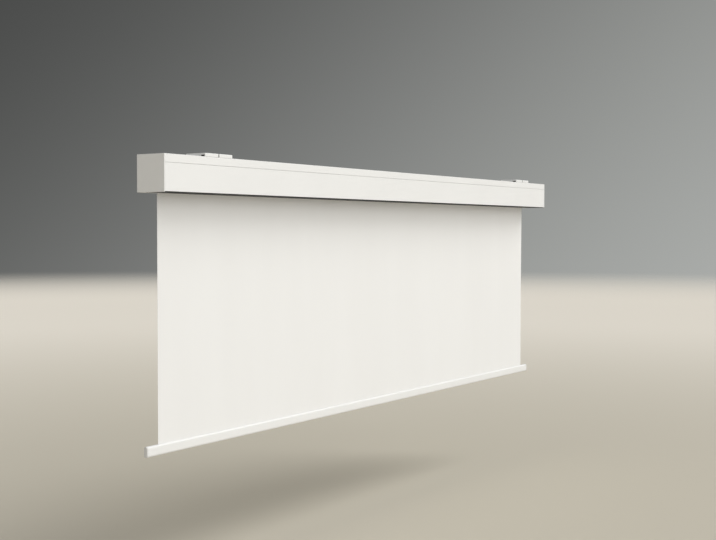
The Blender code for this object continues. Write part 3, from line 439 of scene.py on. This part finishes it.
def add_round(radius, length, place, along="Z", facets=48, tip=None):
    """A cylinder, or a cone where tip is given, centred on place and lying along X or Z."""
    choose_none()
    bpy.ops.mesh.primitive_cone_add(vertices=facets, radius1=radius, depth=length,
                                    radius2=radius if tip is None else tip, location=place,
                                    rotation=(0, math.pi / 2 if along == "X" else 0, 0))
    return settle(bpy.context.object, "round")


def add_hexagon(across, length, place, along="Z"):
    """A six-sided rod, measured across its flats."""
    return add_round(across / 2 / math.cos(math.pi / 6), length, place, along, 6)


def bevel_edges(piece, test, width, segments=1):
    """Bevels the edges whose two ends pass the test together."""
    choose(piece)
    bpy.ops.object.mode_set(mode="EDIT")
    bpy.ops.mesh.select_mode(type="EDGE")
    bpy.ops.mesh.select_all(action="DESELECT")
    bpy.ops.object.mode_set(mode="OBJECT")
    points = piece.data.vertices
    for edge in piece.data.edges:
        edge.select = test(points[edge.vertices[0]].co, points[edge.vertices[1]].co)
    bpy.ops.object.mode_set(mode="EDIT")
    bpy.ops.mesh.bevel(offset=width, segments=segments, affect="EDGES")
    bpy.ops.object.mode_set(mode="OBJECT")


def weld(piece, distance, step, **settings):
    """Merges points that lie in one place, then takes one more step on the whole mesh."""
    choose(piece)
    bpy.ops.object.mode_set(mode="EDIT")
    bpy.ops.mesh.select_mode(type="VERT")
    bpy.ops.mesh.select_all(action="SELECT")
    bpy.ops.mesh.remove_doubles(threshold=distance)
    step(**settings)
    bpy.ops.object.mode_set(mode="OBJECT")


def drop_slivers(piece):
    weld(piece, FINE_WELD, bpy.ops.mesh.dissolve_degenerate, threshold=FINE_WELD)


def add_oval_rod(low, high, along="X", segments=14):
    """A block whose four long edges are rounded right over, so that its section is a flat oval."""
    axis = "XYZ".index(along)
    width = min(high[other] - low[other] for other in range(3) if other != axis)
    rod = add_block(low, high)
    bevel_edges(rod, lambda a, b: abs(a[axis] - b[axis]) > NEAR, width / 2 - HAIR, segments)
    weld(rod, WELD, bpy.ops.mesh.normals_make_consistent, inside=False)
    return rod


def apply_modifier(piece, kind, **settings):
    choose(piece)
    modifier = piece.modifiers.new("step", kind)
    for key, value in settings.items():
        setattr(modifier, key, value)
    bpy.ops.object.modifier_apply(modifier=modifier.name)


def carve(piece, cutter, operation="DIFFERENCE"):
    """Cuts the cutter away, joins it on, or keeps only what both share, then removes it."""
    apply_modifier(piece, "BOOLEAN", object=cutter, operation=operation, solver="EXACT")
    bpy.data.objects.remove(cutter)


def round_edges(piece, width):
    """Breaks the sharp edges, then shades flat faces flat and curved ones smooth."""
    drop_slivers(piece)
    if width:
        apply_modifier(piece, "BEVEL", width=width, segments=2, limit_method="ANGLE",
                       angle_limit=EDGE_ANGLE)
        drop_slivers(piece)
    choose(piece)
    bpy.ops.object.shade_smooth_by_angle(angle=EDGE_ANGLE)
    apply_modifier(piece, "WEIGHTED_NORMAL", keep_sharp=True)


def thicken(sheet, thickness):
    """Gives a sheet its thickness, and shades it smooth apart from its cut edges."""
    apply_modifier(sheet, "SOLIDIFY", thickness=thickness, offset=0.0)
    choose(sheet)
    bpy.ops.object.shade_smooth_by_angle(angle=SHEET_ANGLE)


def copy_of(piece):
    """A second piece with a mesh of its own."""
    other = piece.copy()
    other.data = piece.data.copy()
    bpy.context.scene.collection.objects.link(other)
    return other


def dress(piece, name, body, finish):
    """Gives a piece its name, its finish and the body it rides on."""
    settle(piece, name)
    piece.data.materials.clear()
    piece.data.materials.append(finish)
    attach(piece, body)


def finish_piece(piece, name, node, finish=None):
    """Dresses a piece with the body, slot and finish of the solid that it replaces."""
    slot = SLOT_OF[node]
    dress(piece, name, BODY_OF[node], finish or FINISH_OF[slot])
    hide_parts(node)


# Solids that are shown as copies of themselves, and how far their edges are broken
EASED_NODES = {
    "case_body_profile": 0.0003, "case_front_panel": 0.0003, "case_bottom_panel": 0.0002,
    "case_end_plate_left": 0.0003, "case_end_plate_right": 0.0003,
    "bracket_left_foot": 0.0003, "bracket_right_foot": 0.0003,
    "hem_rod": 0.0002, "fabric_spline": 0.0002,
    "roller_tube": 0.0002, "idler_plug": 0.0002, "idler_bearing": 0.0002, "idler_pin": 0.0002,
    "idler_carrier": 0.0002,
    "motor_housing": 0.0002, "motor_head": 0.0002, "motor_crown": 0.0002,
    "motor_drive_wheel": 0.0002, "motor_shaft": 0.0002, "motor_clip": 0.0001,
    "motor_carrier": 0.0002,
    "limit_screw_lower": 0.0001, "limit_screw_upper": 0.0001,
}


def eased_copy(node, width):
    """The solid itself with merged faces, broken edges and its own finish."""
    copy = bpy.data.objects.new(node, frame["nodes"][node].data.copy())
    bpy.context.scene.collection.objects.link(copy)
    weld(copy, WELD, bpy.ops.mesh.dissolve_limited, angle_limit=FLAT_ANGLE)
    round_edges(copy, width)
    finish_piece(copy, f"{node}_eased", node)


# The hung cloth. Each wave of its slack has a height, a rate along X, a start, and a lean
# over the fall.
CLOTH_HALF = 1.200
CLOTH_THICKNESS = 0.00045
CLOTH_Y = 0.034125
CLOTH_FOOT = -0.8746
CLOTH_COLUMNS = 200
CLOTH_ROWS = 72
ROLLER_Z = -0.0663
BROAD_WAVE = (0.0011, 2.4, 0.6, 0.0)
MIDDLE_WAVE = (0.0007, 5.3, -0.9, 0.7)
FINE_WAVE = (0.0003, 11.0, 0.0, 1.7)
HOLD_POWER = 1.2
CURL_WIDTH = 0.03
CURL_RISE = 0.0014


def slack_wave(shape, x, fall):
    height, rate, start, lean = shape
    return height * math.sin(rate * x + start + lean * fall)


def cloth_bow(x, z):
    """How far the hung cloth stands off its plane: still where it is held, slack lines between."""
    fall = (ROLLER_Z - z) / (ROLLER_Z - CLOTH_FOOT)
    held = math.sin(math.pi * min(max(fall, 0.0), 1.0)) ** HOLD_POWER
    long_waves = slack_wave(BROAD_WAVE, x, fall) + slack_wave(MIDDLE_WAVE, x, fall)
    fine_waves = slack_wave(FINE_WAVE, x, fall) * fall
    edge = max(0.0, 1.0 - (CLOTH_HALF - abs(x)) / CURL_WIDTH)
    curl = CURL_RISE * edge ** 2 * math.sin(math.pi * fall)
    return held * (long_waves + fine_waves) + curl


def hang_cloth():
    """One sheet from the roller to the rod of the hem bar, white in front and plainer behind."""
    choose_none()
    bpy.ops.mesh.primitive_grid_add(x_subdivisions=CLOTH_COLUMNS, y_subdivisions=CLOTH_ROWS,
                                    size=1, rotation=(math.pi / 2, 0, 0))
    cloth = bpy.context.object
    cloth.dimensions = (2 * CLOTH_HALF, ROLLER_Z - CLOTH_FOOT, 0)
    cloth.location = (0, CLOTH_Y, (ROLLER_Z + CLOTH_FOOT) / 2)
    settle(cloth, "screen_cloth")
    for point in cloth.data.vertices:
        point.co.y += cloth_bow(point.co.x, point.co.z)
    thicken(cloth, CLOTH_THICKNESS)
    finish_piece(cloth, "screen_cloth", "fabric_sheet")
    cloth.data.materials.append(cloth_back)
    for face in cloth.data.polygons:
        face.material_index = 1 if face.normal.y > 0.5 else 0
    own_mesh(cloth)


# The pocket welded round the rod at the foot of the cloth
ROD_Z = -0.8775
POCKET_LOOP = 0.00305


def make_rod_pocket():
    """The cloth's last turn, taken round the rod so that the bar can't slip off it."""
    choose_none()
    bpy.ops.mesh.primitive_cylinder_add(vertices=40, radius=POCKET_LOOP, depth=2 * CLOTH_HALF,
                                        end_fill_type="NOTHING", location=(0, CLOTH_Y, ROD_Z),
                                        rotation=(0, math.pi / 2, 0))
    pocket = settle(bpy.context.object, "rod_pocket")
    thicken(pocket, CLOTH_THICKNESS)
    dress(pocket, "rod_pocket", "bar", cloth_front)


# The wound cloth, a little thinner than its turns are apart
TUBE_RADIUS = 0.0315
ROLL_TURNS = 3
ROLL_STEPS = 64
ROLL_COLUMNS = 24
ROLL_GAP = 0.0003
WOUND_THICKNESS = 0.00041


def wind_cloth():
    """The part of the sheet left on the tube: a spiral that ends where the hung part starts."""
    inner = TUBE_RADIUS + ROLL_GAP + CLOTH_THICKNESS / 2
    choose_none()
    bpy.ops.mesh.primitive_grid_add(x_subdivisions=ROLL_COLUMNS,
                                    y_subdivisions=ROLL_TURNS * ROLL_STEPS, size=1)
    roll = settle(bpy.context.object, "wound_cloth")
    for point in roll.data.vertices:
        share = point.co.y + 0.5
        radius = inner + share * ROLL_TURNS * CLOTH_THICKNESS
        angle = (share - 1.0) * ROLL_TURNS * math.tau
        point.co = (point.co.x * 2 * CLOTH_HALF, radius * math.cos(angle),
                    ROLLER_Z + radius * math.sin(angle))
    thicken(roll, WOUND_THICKNESS)
    finish_piece(roll, "wound_cloth", "fabric_roll")


# The bar at the foot of the cloth
BAR_HALF = 1.2477
BAR_DEPTH = 0.014
BAR_HEIGHT = 0.033
BAR_WALL = 0.0022
BAR_TOP = -0.8718
BAR_FOOT = BAR_TOP - BAR_HEIGHT
BAR_SLOT = 0.0024
BAR_PAST = 0.01
POCKET_RADIUS = 0.0035
CAP_END = 1.252
CAP_SEAT = 1.248
CAP_ROUNDING = 0.002
SPIGOT_LENGTH = 0.012
FIT = 0.0003


def bar_section(start, end):
    """A length of the bar's outer shape."""
    half = BAR_DEPTH / 2
    return add_oval_rod((start, CLOTH_Y - half, BAR_FOOT), (end, CLOTH_Y + half, BAR_TOP))


def bar_hollow(start, end, shrink=0.0):
    """A length of the hollow under the rod, drawn in all round where a spigot has to fit."""
    top = ROD_Z - POCKET_RADIUS - BAR_WALL - shrink
    foot = BAR_FOOT + BAR_WALL + shrink
    half = BAR_DEPTH / 2 - BAR_WALL - shrink
    return add_oval_rod((start, CLOTH_Y - half, foot), (end, CLOTH_Y + half, top), segments=8)


def make_bar():
    """Flat oval aluminium bar, slotted along its top for the cloth and hollow below."""
    bar = bar_section(-BAR_HALF, BAR_HALF)
    past = BAR_HALF + BAR_PAST
    carve(bar, add_round(POCKET_RADIUS, 2 * past, (0, CLOTH_Y, ROD_Z), "X", 32))
    carve(bar, add_block((-past, CLOTH_Y - BAR_SLOT / 2, ROD_Z),
                         (past, CLOTH_Y + BAR_SLOT / 2, BAR_TOP + BAR_PAST)))
    carve(bar, bar_hollow(-past, past))
    round_edges(bar, EDGE_METAL)
    finish_piece(bar, "foot_bar", "hem_bar", white_drawn_coat)


def make_bar_cap(side, name):
    """Moulded cap: a rounded oval plate on a spigot that fills the hollow."""
    outer = side * CAP_END
    cap = bar_section(*sorted((side * CAP_SEAT, outer)))
    bevel_edges(cap, lambda a, b: abs(a.x - outer) < NEAR and abs(b.x - outer) < NEAR,
                CAP_ROUNDING, segments=5)
    start, end = sorted((side * (CAP_SEAT - SPIGOT_LENGTH), side * (CAP_SEAT + FIT)))
    carve(cap, bar_hollow(start, end, FIT), "UNION")
    round_edges(cap, EDGE_MOULDED)
    finish_piece(cap, f"foot_bar_cap_{name}", f"hem_bar_cap_{name}")


# The roof brackets
CASE_FRONT = -0.0555
BRACKET_CENTRE = 1.027
BRACKET_HALF = 0.061
BRACKET_DEPTH = 0.080
BRACKET_FOOT = -0.0105
BRACKET_WALL = 0.003
BRACKET_FOLD = 0.0022
BRACKET_CORNER = 0.018
BRACKET_END_LIP = 0.0052
BRACKET_SPLIT = 0.0050
BRACKET_NOTCH = 0.008
SLOT_Y = CASE_FRONT + BRACKET_DEPTH / 2
SLOT_WIDTH = 0.0065
SLOT_LENGTH = 0.016
SLOT_OFFSET = 0.042
SLOT_CUT = 0.01
BOLT_Y = -0.0305
BOLT_OFFSET = 0.016
BOLT_RADIUS = 0.003
BOLT_CUT = 0.02
SINK_TOP = 0.001
SINK_FOOT = -0.0031


def cut_screw_slot(plate, centre):
    """An oval slot for a ceiling screw."""
    across, along = SLOT_WIDTH / 2, SLOT_LENGTH / 2
    carve(plate, add_oval_rod((centre - across, SLOT_Y - along, -SLOT_CUT),
                              (centre + across, SLOT_Y + along, OVER), "Z", segments=10))


def cut_bolt_hole(plate, centre):
    """A countersunk hole for one of the bolts that hold the foot."""
    depth = SINK_TOP - SINK_FOOT
    carve(plate, add_round(BOLT_RADIUS + FIT, BOLT_CUT, (centre, BOLT_Y, 0), facets=32))
    carve(plate, add_round(BOLT_RADIUS, depth, (centre, BOLT_Y, (SINK_TOP + SINK_FOOT) / 2),
                           facets=32, tip=BOLT_RADIUS + depth))


def make_bracket(side, name):
    """Pressed plate: folded all round, open at its front corners, split in front at mid length."""
    centre = side * BRACKET_CENTRE
    back = CASE_FRONT + BRACKET_DEPTH
    low = BRACKET_FOOT - OVER
    plate = add_block((centre - BRACKET_HALF, CASE_FRONT, BRACKET_FOOT),
                      (centre + BRACKET_HALF, back, 0))
    bevel_edges(plate, lambda a, b: (a.z > -NEAR and b.z > -NEAR) or
                (abs(a.z - b.z) > NEAR and a.y > back - NEAR), BRACKET_FOLD, segments=5)
    inner = BRACKET_HALF - BRACKET_WALL
    carve(plate, add_block((centre - inner, CASE_FRONT + BRACKET_WALL, low),
                           (centre + inner, back - BRACKET_WALL, -BRACKET_WALL)))
    for end_side in (-1, 1):
        start, end = sorted((centre + end_side * (inner - OVER),
                             centre + end_side * (BRACKET_HALF + OVER)))
        carve(plate, add_block((start, CASE_FRONT + BRACKET_WALL, low),
                               (end, CASE_FRONT + BRACKET_CORNER, -BRACKET_END_LIP)))
        cut_screw_slot(plate, centre + end_side * SLOT_OFFSET)
        cut_bolt_hole(plate, centre + end_side * BOLT_OFFSET)
    carve(plate, add_block((centre - BRACKET_SPLIT / 2, CASE_FRONT - OVER, low),
                           (centre + BRACKET_SPLIT / 2, CASE_FRONT + BRACKET_NOTCH, OVER)))
    round_edges(plate, EDGE_METAL)
    finish_piece(plate, f"roof_bracket_{name}", f"bracket_{name}_plate")


# The bolts of the brackets. The mouth of the socket is a cone that opens upwards.
BOLT_TOP = -0.0003
BOLT_END = -0.0171
BOLT_HEAD_RADIUS = 0.0057
BOLT_SHANK_SHARE = 0.8
BOLT_TIP_CHAMFER = 0.0007
BOLT_SOCKET = 0.004
BOLT_SOCKET_DEPTH = 0.0024
MOUTH_FOOT_RADIUS = 0.0017
MOUTH_TOP_RADIUS = 0.0031
MOUTH_HEIGHT = 0.0014
MOUTH_SINK = 0.0002


def make_bolt():
    """Countersunk bolt at x = y = 0, with a hexagon socket and a chamfered tip."""
    cone = BOLT_HEAD_RADIUS - BOLT_RADIUS
    bolt = add_round(BOLT_RADIUS, cone, (0, 0, BOLT_TOP - cone / 2), tip=BOLT_HEAD_RADIUS)
    shank_top = BOLT_TOP - cone * BOLT_SHANK_SHARE
    shank = add_round(BOLT_RADIUS, shank_top - BOLT_END, (0, 0, (shank_top + BOLT_END) / 2))
    bevel_edges(shank, lambda a, b: max(a.z, b.z) < BOLT_END + NEAR, BOLT_TIP_CHAMFER)
    carve(bolt, shank, "UNION")
    carve(bolt, add_hexagon(BOLT_SOCKET, 2 * BOLT_SOCKET_DEPTH, (0, 0, BOLT_TOP)))
    carve(bolt, add_round(MOUTH_FOOT_RADIUS, MOUTH_HEIGHT, (0, 0, BOLT_TOP - MOUTH_SINK),
                          facets=36, tip=MOUTH_TOP_RADIUS))
    round_edges(bolt, EDGE_TURNED)
    return bolt


def place_bolts():
    """Two bolts through each bracket, into its foot."""
    first = make_bolt()
    for side, name in SIDES:
        for offset, where in ((BOLT_OFFSET, "inner"), (-BOLT_OFFSET, "outer")):
            bolt = copy_of(first)
            bolt.location = (side * (BRACKET_CENTRE - offset), BOLT_Y, 0)
            finish_piece(bolt, f"bolt_{name}_{where}", f"bracket_{name}_bolt_{where}")
    bpy.data.objects.remove(first)


# The screws of the carriers
SCREW_HEAD_RADIUS = 0.0035
SCREW_HEAD_HEIGHT = 0.0026
SCREW_HEAD_ROUNDING = 0.0013
SCREW_SHANK_RADIUS = 0.00175
SCREW_SEAT = 1.2479
SCREW_TIP = 1.2573
SCREW_RISE = 0.032
CROSS_HALF_WIDTH = 0.0004
CROSS_REACH = 0.0019
CROSS_DEPTH = 0.0014


def make_screw():
    """Pan-head screw along X with a cross recess, as it sits at the motor end."""
    head_end = SCREW_SEAT - SCREW_HEAD_HEIGHT
    screw = add_round(SCREW_HEAD_RADIUS, SCREW_HEAD_HEIGHT,
                      ((SCREW_SEAT + head_end) / 2, 0, 0), "X", 32)
    bevel_edges(screw, lambda a, b: max(a.x, b.x) < head_end + NEAR, SCREW_HEAD_ROUNDING,
                segments=5)
    shank_start = SCREW_SEAT - OVERLAP
    carve(screw, add_round(SCREW_SHANK_RADIUS, SCREW_TIP - shank_start,
                           ((SCREW_TIP + shank_start) / 2, 0, 0), "X", 24), "UNION")
    start, end = head_end - OVER, head_end + CROSS_DEPTH
    cross = add_block((start, -CROSS_REACH, -CROSS_HALF_WIDTH),
                      (end, CROSS_REACH, CROSS_HALF_WIDTH))
    carve(cross, add_block((start, -CROSS_HALF_WIDTH, -CROSS_REACH),
                           (end, CROSS_HALF_WIDTH, CROSS_REACH)), "UNION")
    carve(screw, cross)
    round_edges(screw, EDGE_SCREW)
    return screw


def place_carrier_screws():
    """Two screws at each end, through the end plate into the carrier."""
    first = make_screw()
    for turn, name in ((math.pi, "idler"), (0, "motor")):
        for rise, where in ((-SCREW_RISE, "lower"), (SCREW_RISE, "upper")):
            screw = copy_of(first)
            screw.rotation_euler = (0, 0, turn)
            screw.location = (0, 0, ROLLER_Z + rise)
            finish_piece(screw, f"{name}_screw_{where}", f"{name}_carrier_screw_{where}")
    bpy.data.objects.remove(first)


# The cable entry
GLAND_Y = 0.0375
GLAND_Z = -0.0288
GLAND_INNER = 1.2521
GLAND_SEAT = 1.2603
GLAND_HEX = 0.016
GLAND_HEX_HEIGHT = 0.005
GLAND_CHAMFER = 0.0009
GLAND_DOME = 0.006
GLAND_DOME_ROUNDING = 0.0021
GLAND_THREAD = 0.006
GLAND_BORE = 0.00375
GLAND_BORE_CUT = 0.03
RIB_COUNT = 18
RIB_REACH = 0.0062
RIB_RADIUS = 0.0005
RIB_CUT = 0.008
NUT_START = 1.2527
NUT_END = 1.2567
NUT_CUT = 0.02


def add_gland_round(radius, start, end, facets=48):
    """A cylinder on the axis of the gland."""
    return add_round(radius, end - start, ((start + end) / 2, GLAND_Y, GLAND_Z), "X", facets)


def add_gland_hexagon(start, end, both):
    """A hexagon whose corners are turned off at its outer face, or at both."""
    body = add_hexagon(GLAND_HEX, end - start, ((start + end) / 2, GLAND_Y, GLAND_Z), "X")
    turned_down = add_gland_round(GLAND_HEX / 2 / math.cos(math.pi / 6), start, end)
    bevel_edges(turned_down, lambda a, b: abs(a.x - b.x) < NEAR and (both or a.x > end - NEAR),
                GLAND_CHAMFER)
    carve(body, turned_down, "INTERSECT")
    return body


def add_ribbed_dome(start, end):
    """The domed end of the clamping nut, with grooves cut all round it."""
    dome = add_gland_round(GLAND_THREAD, start, end, 72)
    bevel_edges(dome, lambda a, b: min(a.x, b.x) > end - NEAR, GLAND_DOME_ROUNDING, segments=7)
    for number in range(RIB_COUNT):
        angle = math.tau * number / RIB_COUNT
        place = (start, GLAND_Y + RIB_REACH * math.cos(angle),
                 GLAND_Z + RIB_REACH * math.sin(angle))
        carve(dome, add_round(RIB_RADIUS, RIB_CUT, place, "X", 12))
    return dome


def make_gland():
    """Cable gland: threaded stem, hexagon, and a domed and ribbed nut round an open bore."""
    hexagon_end = GLAND_SEAT + GLAND_HEX_HEIGHT
    gland = add_gland_hexagon(GLAND_SEAT, hexagon_end, False)
    carve(gland, add_gland_round(GLAND_THREAD, GLAND_INNER, GLAND_SEAT + OVERLAP), "UNION")
    carve(gland, add_ribbed_dome(hexagon_end - OVERLAP, hexagon_end + GLAND_DOME), "UNION")
    carve(gland, add_round(GLAND_BORE, GLAND_BORE_CUT, (GLAND_SEAT, GLAND_Y, GLAND_Z), "X"))
    round_edges(gland, 0)
    finish_piece(gland, "power_cable_gland", "cable_gland")


def make_gland_nut():
    """Hexagon nut that holds the gland from inside the end plate."""
    nut = add_gland_hexagon(NUT_START, NUT_END, True)
    carve(nut, add_round(GLAND_THREAD + FIT, NUT_CUT, (NUT_START, GLAND_Y, GLAND_Z), "X"))
    round_edges(nut, EDGE_TURNED)
    finish_piece(nut, "power_gland_nut", "gland_nut")


def paint_nodes():
    """Every solid takes the finish of the slot that the record gives it."""
    for node, slot in SLOT_OF.items():
        solid = frame["nodes"][node]
        solid.data.materials.clear()
        solid.data.materials.append(FINISH_OF[slot])


set_camera()
set_sky()
lay_floor()
paint_nodes()
hang_cloth()
make_rod_pocket()
wind_cloth()
make_bar()
for side, name in SIDES:
    make_bar_cap(side, name)
for side, name in SIDES:
    make_bracket(side, name)
place_bolts()
place_carrier_screws()
make_gland()
make_gland_nut()
for node, width in EASED_NODES.items():
    eased_copy(node, width)
add_wide_light("fill_light", FILL_PLACE, FILL_SPREAD, FILL_STRENGTH)
add_wide_light("key_light", KEY_PLACE, KEY_SPREAD, KEY_STRENGTH)
bpy.context.scene.view_settings.view_transform = "Standard"
